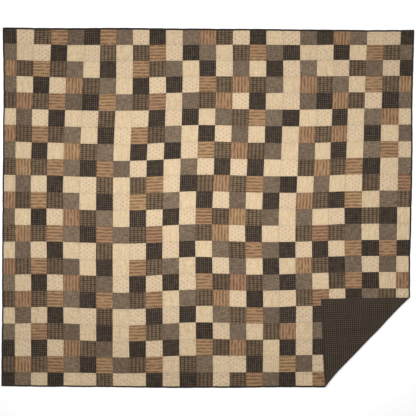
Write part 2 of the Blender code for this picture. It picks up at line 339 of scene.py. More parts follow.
@dataclass(frozen=True)
class CornerFold:
    """The fold of the lower right corner: a soft roll that turns past flat and then eases down again."""

    foot: tuple[float, float] = (2.3875, 0.0)
    side: tuple[float, float] = (3.037, 0.685)
    neutral: float = 0.0030
    roll_radius: float = 0.0090
    overturn: float = math.radians(25)
    flap_lift: float = 0.0070
    roll_strips: int = 16
    ease_strips: int = 6
    creep: tuple[float, ...] = (8, -4, -5, -3, -3, 0, -2, -1, 5)
    creep_reach: float = 0.12
    creep_cells: int = 32

    @cached_property
    def along(self) -> Array:
        """Direction along the folded edge, up from the foot."""
        line = np.array(self.side) - np.array(self.foot)
        return line / np.linalg.norm(line)

    @cached_property
    def to_corner(self) -> Array:
        """Direction across the fold, towards the corner before it was folded."""
        return np.array([self.along[1], -self.along[0]])

    @cached_property
    def start(self) -> Array:
        """Where the roll starts at the quilt's foot."""
        return np.array(self.foot) - self.to_corner * (self.roll_radius + self.neutral)

    @property
    def roll(self) -> float:
        """Length of cloth in the roll."""
        return self.roll_radius * (math.pi + self.overturn)

    @property
    def ease_radius(self) -> float:
        """Radius of the curve that brings the cloth level again."""
        drop = self.roll_radius * (1 + math.cos(self.overturn)) - self.flap_lift
        return drop / (1 - math.cos(self.overturn))

    @property
    def whole(self) -> float:
        """Length of cloth in the roll and the ease together."""
        return self.roll + self.ease_radius * self.overturn

    @property
    def length(self) -> float:
        """Length of the folded edge."""
        return math.dist(self.side, self.foot)

    def past(self, x: Array, y: Array) -> Array:
        """Distance of points of the plan past the fold's start, towards the corner."""
        return (x - self.start[0]) * self.to_corner[0] + (y - self.start[1]) * self.to_corner[1]

    def turns(self, past: Array) -> tuple[Array, Array]:
        """Angles that the cloth has turned over in the roll and back in the ease, past the fold's start."""
        in_roll = np.clip(past, 0, self.roll) / self.roll_radius
        return in_roll, np.clip(past - self.roll, 0, self.whole - self.roll) / self.ease_radius

    def on_edge(self, points: Array) -> Array:
        """How far the cloth at points of the eased plan stands on edge in the fold, from 0 to 1."""
        in_roll, in_ease = self.turns(self.past(points[:, 0], points[:, 1]))
        return np.clip(np.sin(in_roll - in_ease), 0, 1)

    def folded(self, points: Array) -> Array:
        """Points of the flat quilt with the corner folded over.

        Args:
            points: Points of the eased plan.

        Returns:
            The points where the folded cloth has them.
        """
        flat = points[:, :2] - self.start
        place, past = flat @ self.along, flat @ self.to_corner
        off = points[:, 2] - self.neutral
        in_roll, in_ease = self.turns(past)
        end = math.pi + self.overturn
        turn = in_roll - in_ease
        eased = end - in_ease
        across = self.roll_radius * np.sin(in_roll) + self.ease_radius * (math.sin(end) - np.sin(eased))
        height = self.roll_radius * (1 - np.cos(in_roll)) + self.ease_radius * (np.cos(eased) - math.cos(end))
        reach = across - off * np.sin(turn) + np.minimum(past, 0) - np.maximum(past - self.whole, 0)
        knots = np.linspace(0, self.length, len(self.creep))
        creep = curve_through(knots, self.creep, place) * MILLIMETRE
        reach += creep * np.exp(-((reach / self.creep_reach) ** 2))
        level = self.start + np.outer(place, self.along) + np.outer(reach, self.to_corner)
        return np.column_stack([level, self.neutral + height + off * np.cos(turn)])

    def crease(self, mesh: bmesh.types.BMesh) -> None:
        """Cuts a flat mesh into narrow strips along the fold, so that it can turn.

        Args:
            mesh: A mesh in the eased plan.
        """
        band = [face for face in mesh.faces if self.crosses(face, 0, self.whole)]
        roll = np.linspace(0, self.roll, self.roll_strips + 1)
        ease = np.linspace(self.roll, self.whole, self.ease_strips + 1)[1:]
        for station in (*roll, *ease):
            band = self.cut(mesh, band, self.start + self.to_corner * station, self.to_corner)
        band = [face for face in band if 0 < self.past(*face.calc_center_median().xy) < self.whole]
        for place in np.linspace(0, self.length, self.creep_cells + 1):
            band = self.cut(mesh, band, self.start + self.along * place, self.along)

    def crosses(self, face: bmesh.types.BMFace, low: float, high: float) -> bool:
        """Whether a face has a part between two distances past the fold's start."""
        past = [self.past(*vertex.co.xy) for vertex in face.verts]
        return max(past) > low and min(past) < high

    @staticmethod
    def cut(
        mesh: bmesh.types.BMesh, faces: list[bmesh.types.BMFace], place: Array, direction: Array
    ) -> list[bmesh.types.BMFace]:
        """Cuts faces by an upright plane.

        Args:
            mesh: The mesh that has the faces.
            faces: The faces to cut.
            place: A point of the plan on the plane.
            direction: The plane's direction in the plan.

        Returns:
            The faces, and those that the cut made.
        """
        edges = {edge for face in faces for edge in face.edges}
        vertices = {vertex for edge in edges for vertex in edge.verts}
        made = bmesh.ops.bisect_plane(
            mesh,
            geom=[*vertices, *edges, *faces],
            dist=1e-6,
            plane_co=(*place, 0),
            plane_no=(*direction, 0),
        )
        return [part for part in made["geom"] if isinstance(part, bmesh.types.BMFace)]


@dataclass(frozen=True)
class Layers:
    """Heights of the quilt's cloths above the floor, where it lies flat."""

    backing: float = 0.0012
    backing_relief: float = 0.0006
    clearance: float = 0.0003
    seam: float = 0.0040
    puff: float = 0.0024
    binding_width: float = 0.012
    binding_height: float = 0.0060
    binding_cloth: float = 0.0013
    binding_wall: float = 0.0020
    raw_edge: float = 0.0028
    pinch_start: float = 0.0125
    pinch_end: float = 0.024
    pressed_reach: float = 0.03


@dataclass(frozen=True)
class Lie:
    """How the quilt lies: its plan, the fold of its corner and the heights of its layers."""

    plan: Plan = field(default_factory=Plan)
    fold: CornerFold = field(default_factory=CornerFold)
    layers: Layers = field(default_factory=Layers)

    def pinched(self, x: Array, y: Array, height: Array | float, edge_height: float) -> Array:
        """Height of a face that the binding pinches.

        Args:
            x: Places across the quilt.
            y: Places up the quilt.
            height: The face's height away from the edges.
            edge_height: Its height under the binding.

        Returns:
            The height at each point.
        """
        plan, layers = self.plan, self.layers
        from_edge = np.minimum.reduce([x, plan.width - x, y, plan.length - y])
        share = np.clip((from_edge - layers.pinch_start) / (layers.pinch_end - layers.pinch_start), 0, 1)
        return edge_height + (height - edge_height) * share

    def top_face(self, x: Array, y: Array) -> Array:
        """Height of the quilted face: low on the seams, raised in each patch and pressed flat in the fold."""
        layers = self.layers
        across, up = self.plan.crowns(x, y)
        loose = np.clip(-self.fold.past(x, y) / layers.pressed_reach, 0, 1)
        rise = layers.puff * across * up * loose * self.plan.loft(x, y) * self.pinched(x, y, 1.0, 0.0)
        at_edge = layers.binding_height - layers.binding_cloth - layers.clearance
        return rise + self.pinched(x, y, layers.seam, at_edge)

    def top_underside(self, x: Array, y: Array) -> Array:
        """Height of the top's hidden face."""
        layers = self.layers
        at_edge = layers.binding_cloth + layers.backing + 2 * layers.clearance
        return self.pinched(x, y, layers.backing + layers.clearance, at_edge)

    def backing_inside(self, x: Array, y: Array) -> Array:
        """Height of the backing's hidden face."""
        layers = self.layers
        return self.pinched(x, y, layers.backing, layers.binding_cloth + layers.backing + layers.clearance)

    def backing_face(self, x: Array, y: Array) -> Array:
        """Height of the backing's outer face, which the quilting draws in along the seams."""
        layers = self.layers
        across, up = self.plan.crowns(x, y)
        drawn_in = layers.backing_relief * (1 - across * up)
        return self.pinched(x, y, drawn_in, layers.binding_cloth + layers.clearance)

    def lay(self, mesh: bmesh.types.BMesh) -> None:
        """Eases, creases and folds a flat mesh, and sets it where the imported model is."""
        move(mesh, self.plan.eased)
        self.fold.crease(mesh)
        # How far each vertex stands on edge in the fold; the backing's material paints shade by it
        on_edge = mesh.verts.layers.float.new("on_edge")
        shares = self.fold.on_edge(np.array([vertex.co for vertex in mesh.verts]))
        for vertex, share in zip(mesh.verts, shares):
            vertex[on_edge] = share
        move(mesh, self.fold.folded)
        move(mesh, self.plan.on_origin)


# Which cloth each patch is cut from


class Patch(Enum):
    """Cloth of a patch, and whether its stripes lie level or stand upright."""

    CREAM = "C"
    SPECKLED = "S"
    CHAMBRAY = "G"
    LEVEL_STRIPE = "H"
    UPRIGHT_STRIPE = "V"
    PLAID = "P"
    PINSTRIPE = "K"

    @property
    def turned(self) -> Patch:
        """The same patch after a quarter turn."""
        other = {Patch.LEVEL_STRIPE: Patch.UPRIGHT_STRIPE, Patch.UPRIGHT_STRIPE: Patch.LEVEL_STRIPE}
        return other.get(self, self)


@dataclass(frozen=True)
class Layout:
    """Which cloth each patch is cut from, in rows from the top."""

    plan: Plan

    def block(self, row: int, column: int) -> list[list[Patch]]:
        """Patches of a four-patch block as it is sewn in.

        Args:
            row: The block's row from the top.
            column: Its column from the left.

        Returns:
            The upper pair and the lower pair of patches.
        """
        repeat = [*BLOCK_ROWS[row % len(BLOCK_ROWS)].split(), TENTH_COLUMN.split()[row]]
        code = BLOCK_CHANGES.get((row, column), repeat[column])
        block = [[Patch(letter) for letter in pair] for pair in BLOCKS[code[0].lower()]]
        if code[0].isupper():
            block = [pair[::-1] for pair in block]
        for _ in range(int(code[1])):
            block = [[pair[1].turned for pair in block], [pair[0].turned for pair in block]]
        return block

    def row(self, row: int) -> list[Patch]:
        """Patches of one row of the quilt, counted from the top."""
        blocks = len(BLOCK_ROWS[0].split()) + 1
        patches = [patch for column in range(blocks) for patch in self.block(row // 2, column)[row % 2]]
        patches += [Patch(letter) for letter in SCRAPS[row % len(SCRAPS)]]
        for column, letter in PATCH_CHANGES.get(row, {}).items():
            patches[column] = Patch(letter)
        return patches

    def patches(self) -> list[list[Patch]]:
        """Every row of patches, from the foot of the quilt up."""
        return [self.row(row) for row in reversed(range(self.plan.rows))]


# Meshes


@dataclass
class Draft:
    """A closed mesh in the flat plan, with what its faces carry."""

    points: Array
    faces: list[tuple[int, ...]]
    maps: dict[str, Array] = field(default_factory=dict)
    slots: Array | None = None
    tones: Array | None = None

    def corners(self) -> npt.NDArray[np.int64]:
        """Vertex of each corner of each face, in order."""
        return np.concatenate([np.array(face) for face in self.faces])

    def corner_faces(self) -> npt.NDArray[np.int64]:
        """Face of each of those corners."""
        return np.repeat(np.arange(len(self.faces)), [len(face) for face in self.faces])

    def in_patches(self, plan: Plan, cells: Array) -> tuple[Array, Array, Array]:
        """Where each corner of each face lies in its patch.

        Args:
            plan: The quilt's plan.
            cells: Column and row of patches, from the foot, that each face lies in.

        Returns:
            The same column and row for each corner, its place right of and above the patch's lower left
            corner, and that place as shares of the patch.
        """
        corners = cells[self.corner_faces()]
        column, row = corners.T
        low = np.stack([plan.column_seams[column], plan.row_seams[row]], 1)
        high = np.stack([plan.column_seams[column + 1], plan.row_seams[row + 1]], 1)
        places = self.points[self.corners(), :2] - low
        return corners, places, places / (high - low)

    def laid(self, name: str, lie: Lie, materials: list[bpy.types.Material]) -> bpy.types.Object:
        """Makes an object of the mesh, eased, folded and in its place.

        Args:
            name: The object's name.
            lie: How the quilt lies.
            materials: Materials of the object's slots.

        Returns:
            The new object, in the scene.
        """
        data = bpy.data.meshes.new(name)
        data.from_pydata(self.points.tolist(), [], self.faces)
        for title, places in self.maps.items():
            data.uv_layers.new(name=title).data.foreach_set("uv", places.ravel())
        if self.slots is not None:
            data.polygons.foreach_set("material_index", self.slots)
        if self.tones is not None:
            data.attributes.new("tone", "FLOAT", "FACE").data.foreach_set("value", self.tones)
        mesh = bmesh.new()
        mesh.from_mesh(data)
        lie.lay(mesh)
        bmesh.ops.recalc_face_normals(mesh, faces=mesh.faces)
        mesh.to_mesh(data)
        mesh.free()
        data.shade_smooth()
        for material in materials:
            data.materials.append(material)
        made = bpy.data.objects.new(name, data)
        bpy.context.scene.collection.objects.link(made)
        return made


@dataclass(frozen=True)
class PanelMesh:
    """A closed panel of cloth: a fine face that shows, a coarse one that doesn't, and a rim between them."""

    lie: Lie
    places: tuple[float, ...]
    clear_of_pinch: float = 1.25

    def coarse_lines(self, seams: Array) -> Array:
        """Lines of the coarse face in one direction."""
        layers = self.lie.layers
        near = [layers.raw_edge, layers.pinch_start, layers.pinch_end]
        return np.array([*near, *seams[1:-1], *(seams[-1] - d for d in reversed(near))])

    def fine_lines(self, seams: Array) -> Array:
        """Lines of the fine face in one direction: those of the coarse one, and more in each patch."""
        layers = self.lie.layers
        coarse = self.coarse_lines(seams)
        clear = layers.pinch_end * self.clear_of_pinch
        spans = list(zip(seams, seams[1:]))
        steps = (start + (end - start) * place for start, end in spans for place in self.places)
        inside = [step for step in steps if clear < step < seams[-1] - clear]
        pinches = [(layers.raw_edge + layers.pinch_start) / 2, (layers.pinch_start + layers.pinch_end) / 2]
        near = [*pinches, *(seams[-1] - d for d in pinches)]
        return np.unique(np.round([*coarse, *inside, *near], 7))

    def draft(self, fine: Height, coarse: Height) -> tuple[Draft, Array]:
        """Makes the panel's mesh.

        Args:
            fine: Height of the face that shows.
            coarse: Height of the face that doesn't.

        Returns:
            The mesh, and the column and row of patches, from the foot, that each of its faces lies in.
        """
        plan = self.lie.plan
        xs, ys = self.fine_lines(plan.column_seams), self.fine_lines(plan.row_seams)
        far_xs, far_ys = self.coarse_lines(plan.column_seams), self.coarse_lines(plan.row_seams)
        near_points, near_faces, near = self.grid(xs, ys, fine, 0)
        far_points, far_faces, far = self.grid(far_xs, far_ys, coarse, len(near_points))
        points = np.concatenate([near_points, far_points])
        faces = [*near_faces, *(face[::-1] for face in far_faces)]
        step_x = np.searchsorted(xs, far_xs - 1e-6)
        step_y = np.searchsorted(ys, far_ys - 1e-6)
        for low, high, a, b in zip(step_x, step_x[1:], range(len(far_xs)), range(1, len(far_xs))):
            faces.append((*near[0, low : high + 1][::-1], far[0, a], far[0, b]))
            faces.append((*near[-1, low : high + 1], far[-1, b], far[-1, a]))
        for low, high, a, b in zip(step_y, step_y[1:], range(len(far_ys)), range(1, len(far_ys))):
            faces.append((*near[low : high + 1, 0], far[b, 0], far[a, 0]))
            faces.append((*near[low : high + 1, -1][::-1], far[a, -1], far[b, -1]))
        faces = [tuple(int(corner) for corner in face) for face in faces]
        centres = np.array([points[list(face), :2].mean(0) for face in faces])
        cells = np.stack(
            [
                np.searchsorted(plan.column_seams, centres[:, 0]) - 1,
                np.searchsorted(plan.row_seams, centres[:, 1]) - 1,
            ],
            1,
        )
        return Draft(points, faces), cells

    @staticmethod
    def grid(xs: Array, ys: Array, height: Height, first: int) -> tuple[Array, list[tuple[int, ...]], Array]:
        """A grid of faces between lines of the plan.

        Args:
            xs: Places of its upright lines.
            ys: Places of its level lines.
            height: Height of a point of the plan.
            first: Number of its first vertex.

        Returns:
            Its points, its faces and the numbers of its vertices, as rows from the foot.
        """
        x, y = (places.ravel() for places in np.meshgrid(xs, ys))
        numbers = first + np.arange(len(x)).reshape(len(ys), len(xs))
        corners = (numbers[:-1, :-1], numbers[:-1, 1:], numbers[1:, 1:], numbers[1:, :-1])
        faces = np.stack([corner.ravel() for corner in corners], 1)
        return np.stack([x, y, height(x, y)], 1), [tuple(face) for face in faces.tolist()], numbers


# Finishes


class Graph:
    """A material's node tree, with short calls for the nodes that cloth needs."""

    def __init__(self, name: str) -> None:
        """Starts a material with its shader alone.

        Args:
            name: The material's name.
        """
        self.material = bpy.data.materials.new(name)
        self.material.use_nodes = True
        self.tree = self.material.node_tree
        self.shader = self.tree.nodes["Principled BSDF"]

    def feed(self, socket: bpy.types.NodeSocket, value: Value) -> None:
        """Links a socket to a value that is a socket, or else sets it to the value."""
        if isinstance(value, bpy.types.NodeSocket):
            self.tree.links.new(value, socket)
        else:
            socket.default_value = value

    def add(self, kind: str, inputs: dict[str | int, Value], **settings: object) -> bpy.types.Node:
        """Adds a node.

        Args:
            kind: The node's type.
            inputs: Values of its sockets, by name or number.
            **settings: Values of its own settings.

        Returns:
            The node.
        """
        node = self.tree.nodes.new(kind)
        for key, value in settings.items():
            setattr(node, key, value)
        for key, value in inputs.items():
            self.feed(node.inputs[key], value)
        return node

    def math(self, operation: str, *values: Value) -> bpy.types.NodeSocket:
        """Result of an operation on values."""
        return self.add("ShaderNodeMath", dict(enumerate(values)), operation=operation).outputs[0]

    def times(self, *values: Value) -> bpy.types.NodeSocket:
        """Product of values."""
        return reduce(lambda product, value: self.math("MULTIPLY", product, value), values)

    def plus(self, *values: Value) -> bpy.types.NodeSocket:
        """Sum of values."""
        return reduce(lambda total, value: self.math("ADD", total, value), values)

    def scaled(self, value: Value, factor: float, shift: float = 0.0) -> bpy.types.NodeSocket:
        """A value times a factor, plus a shift."""
        return self.math("MULTIPLY_ADD", value, factor, shift)

    def span(self, value: Value, low: float, high: float) -> bpy.types.NodeSocket:
        """A value from 0 to 1 spread from low to high."""
        return self.scaled(value, high - low, low)

    def mix(self, share: Value, first: Value, second: Value, blend: str = "MIX") -> bpy.types.NodeSocket:
        """Two colours mixed, with the second one's share from 0 to 1."""
        inputs = {0: share, 6: first, 7: second}
        return self.add("ShaderNodeMix", inputs, data_type="RGBA", blend_type=blend).outputs[2]

    def ramp(self, value: Value, low: float, high: float) -> bpy.types.NodeSocket:
        """A smooth step of a value, from 0 at low to 1 at high, or the other way where low is above high."""
        start, end = (0.0, 1.0) if low < high else (1.0, 0.0)
        inputs = {"Value": value, 1: min(low, high), 2: max(low, high), 3: start, 4: end}
        return self.add("ShaderNodeMapRange", inputs, interpolation_type="SMOOTHSTEP").outputs[0]

    def vector(self, x: Value, y: Value, z: Value = 0.0) -> bpy.types.NodeSocket:
        """A vector of three values."""
        return self.add("ShaderNodeCombineXYZ", {0: x, 1: y, 2: z}).outputs[0]

    def noise(self, u: Value, v: Value, size: Size, detail: float = 2.0) -> bpy.types.NodeSocket:
        """Smooth noise round 0.5, in spots of a size.

        Args:
            u: Place across the cloth, in metres.
            v: Place up the cloth, in metres.
            size: Width and height of a spot, in metres.
            detail: How many finer layers the noise has.

        Returns:
            The noise.
        """
        place = self.vector(*(self.scaled(at, 1 / spot) for at, spot in zip((u, v), size)))
        inputs = {"Vector": place, "Scale": 1.0, "Detail": detail, "Roughness": 0.5}
        return self.add("ShaderNodeTexNoise", inputs, noise_dimensions="2D").outputs[0]

    def spots(self, u: Value, v: Value, size: Size, ends: Range, detail: float = 1.0) -> bpy.types.NodeSocket:
        """Noise as a mask, from 0 to 1 as it goes from one end of a range to the other.

        Args:
            u: Place across the cloth, in metres.
            v: Place up the cloth, in metres.
            size: Width and height of a spot, in metres.
            ends: The noise's values at which the mask is 0 and 1.
            detail: How many finer layers the noise has.

        Returns:
            The mask.
        """
        return self.ramp(self.noise(u, v, size, detail), *ends)

    def lines(self, place: Value, pitch: float, width: float, soft: float = 0.5) -> bpy.types.NodeSocket:
        """A mask of even lines, 1 on a line and 0 between.

        Args:
            place: Place across the lines, in metres.
            pitch: Distance from a line to the next.
            width: Width of a line.
            soft: Share of the width over which a line's side fades.

        Returns:
            The mask.
        """
        off_line = self.math("PINGPONG", place, pitch / 2)
        return self.ramp(off_line, width / 2 * (1 + soft), width / 2 * (1 - soft))

    def pins(self, place: Value, pitch: float, width: float, threads: int = 4) -> bpy.types.NodeSocket:
        """A mask of fine threads that show best in even bands.

        Args:
            place: Place across the threads, in metres.
            pitch: Distance from a band to the next.
            width: Width of a band.
            threads: How many threads lie in a band's pitch.

        Returns:
            The mask.
        """
        fine = pitch / threads
        thread_share, between, soft = 0.4, 0.25, 0.6
        thread = self.span(self.lines(place, fine, fine * thread_share), between, 1.0)
        return self.times(self.lines(place, pitch, width, soft), thread)

    def map(self, name: str) -> tuple[bpy.types.NodeSocket, bpy.types.NodeSocket]:
        """The two coordinates of the piece's own UV map."""
        places = self.add("ShaderNodeUVMap", {}, uv_map=name).outputs[0]
        parts = self.add("ShaderNodeSeparateXYZ", {0: places}).outputs
        return parts[0], parts[1]

    def attribute(self, name: str) -> bpy.types.NodeSocket:
        """A number that the piece's faces carry."""
        return self.add("ShaderNodeAttribute", {}, attribute_name=name).outputs["Fac"]


@dataclass(frozen=True)
class Cotton:
    """A woven cotton in one colour. Its kinds draw their patterns over it."""

    name: str
    colour: Colour
    thread: float = 0.0009
    weave_depth: float = 0.00012
    mottle: float = 0.05
    mottle_spot: Size = (0.035, 0.035)
    slub: Size = (0.0012, 0.012)
    tone_spread: float = 0.035
    hue_spread: float = 0.002
    roughness: float = 0.92
    specular: float = 0.15
    sheen: float = 0.15
    sheen_roughness: float = 0.5
    pucker: float = 0.0060
    pucker_width: float = 0.009
    pucker_stretch: float = 6
    pucker_reach: float = 0.28
    ripple: float = 1.5
    ripple_spot: Size = (0.03, 0.03)
    # Painted shade near the seams: how much darker the cloth is made, and how near the seams
    seam_shade: float = 0.4
    seam_reach: float = 0.010

    def pattern(self, graph: Graph, u: Value, v: Value) -> Value:
        """Colour of the new cloth, before it is washed, used and sewn.

        Args:
            graph: The material's nodes.
            u: Place across the cloth, in metres.
            v: Place up the cloth, in metres.

        Returns:
            The colour.
        """
        return self.colour

    def threads(self, graph: Graph, u: Value, v: Value) -> bpy.types.NodeSocket:
        """Height of the plain weave, from 0 to 1."""
        turns = math.pi / self.thread
        warp, weft = (graph.math("SINE", graph.scaled(place, turns)) for place in (u, v))
        return graph.scaled(graph.times(warp, weft), 0.5, 0.5)

    def from_seams(self, graph: Graph) -> list[bpy.types.NodeSocket]:
        """Distances from the nearest upright seam and the nearest level one, as shares of the patch."""
        return [graph.math("PINGPONG", place, 0.5) for place in graph.map("patch")]

    def worn_and_seam_shaded(self, graph: Graph, colour: Value, u: Value, v: Value) -> bpy.types.NodeSocket:
        """The colour as washing and use leave it, a little different in each patch, with painted shade at the
        seams.

        Args:
            graph: The material's nodes.
            colour: Colour of the new cloth.
            u: Place across the cloth, in metres.
            v: Place up the cloth, in metres.

        Returns:
            The colour.
        """
        fade, slub = (
            graph.span(graph.noise(u, v, spot), 1 - self.mottle, 1 + self.mottle)
            for spot in (self.mottle_spot, self.slub)
        )
        tone = graph.attribute("tone")
        # Painted shade: the colour is darkened by seam_shade close to each seam
        in_seam = graph.ramp(graph.math("MINIMUM", *self.from_seams(graph)), self.seam_reach, 0.0)
        painted_seam_shade = graph.scaled(in_seam, -self.seam_shade, 1.0)
        level = graph.times(fade, slub, graph.scaled(tone, self.tone_spread, 1.0), painted_seam_shade)
        inputs = {"Hue": graph.scaled(tone, self.hue_spread, 0.5), "Value": level, "Color": colour}
        return graph.add("ShaderNodeHueSaturation", inputs).outputs[0]

    def relief(self, graph: Graph, u: Value, v: Value) -> bpy.types.NodeSocket:
        """Normal of the cloth, gathered along its seams and woven all over."""
        near_upright, near_level = (graph.ramp(off, self.pucker_reach, 0.0) for off in self.from_seams(graph))
        tone = graph.attribute("tone")
        across, up = (graph.plus(graph.scaled(part, Plan.patch_width), tone) for part in graph.map("patch"))
        wide, long = self.pucker_width, self.pucker_width * self.pucker_stretch
        beside = graph.times(graph.noise(across, up, (long, wide), 0.0), near_upright)
        above = graph.times(graph.noise(across, up, (wide, long), 0.0), near_level)
        ripples = graph.scaled(graph.noise(across, up, self.ripple_spot, 1.0), self.ripple)
        gathers = {"Strength": 1.0, "Distance": self.pucker, "Height": graph.plus(beside, above, ripples)}
        lower = graph.add("ShaderNodeBump", gathers).outputs[0]
        weave = {"Strength": 1.0, "Distance": self.weave_depth, "Height": self.threads(graph, u, v)}
        return graph.add("ShaderNodeBump", {**weave, "Normal": lower}).outputs[0]

    def material(self) -> bpy.types.Material:
        """Makes the material."""
        graph = Graph(self.name)
        u, v = graph.map("cloth")
        settings = {
            "Base Color": self.worn_and_seam_shaded(graph, self.pattern(graph, u, v), u, v),
            "Normal": self.relief(graph, u, v),
            "Roughness": self.roughness,
            "Specular IOR Level": self.specular,
            "Sheen Weight": self.sheen,
            "Sheen Roughness": self.sheen_roughness,
        }
        for socket, value in settings.items():
            graph.feed(graph.shader.inputs[socket], value)
        return graph.material


@dataclass(frozen=True)
class SpeckledCotton(Cotton):
    """Cream cotton woven with short slanting flecks, in staggered rows that lean either way by turns."""

    fleck_colour: Colour = linear(128, 101, 70)
    fleck_pitch: float = 0.0480
    fleck_row: float = 0.0153
    fleck_length: float = 0.0085
    fleck_width: float = 0.0026
    fleck_edge: Range = (1.15, 0.8)
    fleck_strength: Range = (0.6, 1.1)
    fleck_stray: float = 0.004
    float_pitch: float = 0.0016
    float_width: float = 0.0008
    between_floats: float = 0.4

    def pattern(self, graph: Graph, u: Value, v: Value) -> Value:
        """Flecks over the plain colour."""
        rows = graph.scaled(v, 1 / self.fleck_row)
        row = graph.math("FLOOR", rows)
        columns = graph.plus(graph.scaled(u, 1 / self.fleck_pitch), graph.scaled(row, 0.5))
        column = graph.math("FLOOR", columns)
        cell = {"Vector": graph.vector(column, row)}
        own = graph.add("ShaderNodeTexWhiteNoise", cell, noise_dimensions="2D").outputs["Value"]
        across = graph.scaled(graph.math("FRACT", columns), self.fleck_pitch, -self.fleck_pitch / 2)
        across = graph.plus(across, graph.span(own, -self.fleck_stray, self.fleck_stray))
        up = graph.scaled(graph.math("FRACT", rows), self.fleck_row, -self.fleck_row / 2)
        lean = graph.span(graph.math("PINGPONG", graph.plus(row, column), 1.0), -1.0, 1.0)
        leaning = graph.times(lean, up)
        along = graph.scaled(graph.plus(across, leaning), math.sqrt(0.5) / self.fleck_length)
        off = graph.scaled(graph.math("SUBTRACT", across, leaning), math.sqrt(0.5) / self.fleck_width)
        far = graph.math("SQRT", graph.plus(graph.math("POWER", along, 2.0), graph.math("POWER", off, 2.0)))
        floats = graph.span(graph.lines(v, self.float_pitch, self.float_width), self.between_floats, 1.0)
        fleck = graph.times(graph.ramp(far, *self.fleck_edge), graph.span(own, *self.fleck_strength), floats)
        return graph.mix(fleck, self.colour, self.fleck_colour)


@dataclass(frozen=True)
class CreamCotton(Cotton):
    """Plain cream cotton with faint upright streaks."""

    streak: Colour = linear(169, 142, 107)
    streak_spot: Size = (0.007, 0.10)
    round_spot: Size = (0.012, 0.012)
    contrast: Range = (0.35, 0.75)
    streak_share: float = 0.38

    def pattern(self, graph: Graph, u: Value, v: Value) -> Value:
        """Streaks and soft spots over the plain colour."""
        streaks = graph.spots(u, v, self.streak_spot, self.contrast, 2.0)
        spots = graph.spots(u, v, self.round_spot, self.contrast, 2.0)
        share = graph.scaled(graph.plus(streaks, spots), self.streak_share)
        return graph.mix(share, self.colour, self.streak)


@dataclass(frozen=True)
class Chambray(Cotton):
    """Grey chambray, mottled where warp and weft of two colours cross."""

    weft: Colour = linear(123, 106, 88)
    streak: Size = (0.005, 0.045)
    contrast: Range = (0.80, 1.20)
    yarn: Size = (0.0012, 0.03)
    yarn_share: float = 1.4
    weave_share: float = 0.5

    def crossed(self, graph: Graph, u: Value, v: Value, size: Size, detail: float) -> bpy.types.NodeSocket:
        """Sum of upright and level streaks, round 1.

        Args:
            graph: The material's nodes.
            u: Place across the cloth, in metres.
            v: Place up the cloth, in metres.
            size: Width and length of a streak.
            detail: How many finer layers the streaks have.

        Returns:
            The sum.
        """
        return graph.plus(graph.noise(u, v, size, detail), graph.noise(u, v, size[::-1], detail))

    def pattern(self, graph: Graph, u: Value, v: Value) -> Value:
        """Warp and weft in their two colours, in uneven streaks."""
        uneven = graph.ramp(self.crossed(graph, u, v, self.streak, 1.0), *self.contrast)
        yarns = graph.scaled(self.crossed(graph, u, v, self.yarn, 2.0), self.yarn_share, -self.yarn_share)
        weave = graph.scaled(self.threads(graph, u, v), self.weave_share, -self.weave_share / 2)
        return graph.mix(graph.plus(uneven, yarns, weave), self.colour, self.weft)


@dataclass(frozen=True)
class WavyStripe(Cotton):
    """Tan cotton with darker stripes that waver like the grain of wood, and finer pale ones between them."""

    deep: Colour = linear(128, 96, 69)
    stripe: Colour = linear(90, 62, 39)
    stripe_share: float = 0.75
    stripe_soft: float = 0.8
    pale: Colour = linear(176, 150, 118)
    pale_share: float = 0.5
    pale_soft: float = 0.7
    pitch: float = 0.0243
    width: float = 0.0100
    waver: float = 0.008
    waver_spot: Size = (0.050, 0.030)
    fade_spot: Size = (0.060, 0.012)
    fade: Range = (0.25, 0.55)
    grain_spot: Size = (0.045, 0.0013)
    grain: Range = (0.35, 0.65)

    def pattern(self, graph: Graph, u: Value, v: Value) -> Value:
        """Stripes across the cloth."""
        shift = graph.scaled(graph.noise(u, v, self.waver_spot, 1.0), self.waver, -self.waver / 2)
        place = graph.plus(v, shift)
        dark = graph.lines(place, self.pitch, self.width, self.stripe_soft)
        dark = graph.times(dark, graph.spots(u, v, self.fade_spot, self.fade))
        half = self.pitch / 2
        fine = graph.lines(graph.scaled(place, 1.0, half), half, self.width / 3, self.pale_soft)
        cloth = graph.mix(graph.spots(u, v, self.grain_spot, self.grain, 2.0), self.deep, self.colour)
        cloth = graph.mix(graph.scaled(fine, self.pale_share), cloth, self.pale)
        return graph.mix(graph.scaled(dark, self.stripe_share), cloth, self.stripe)


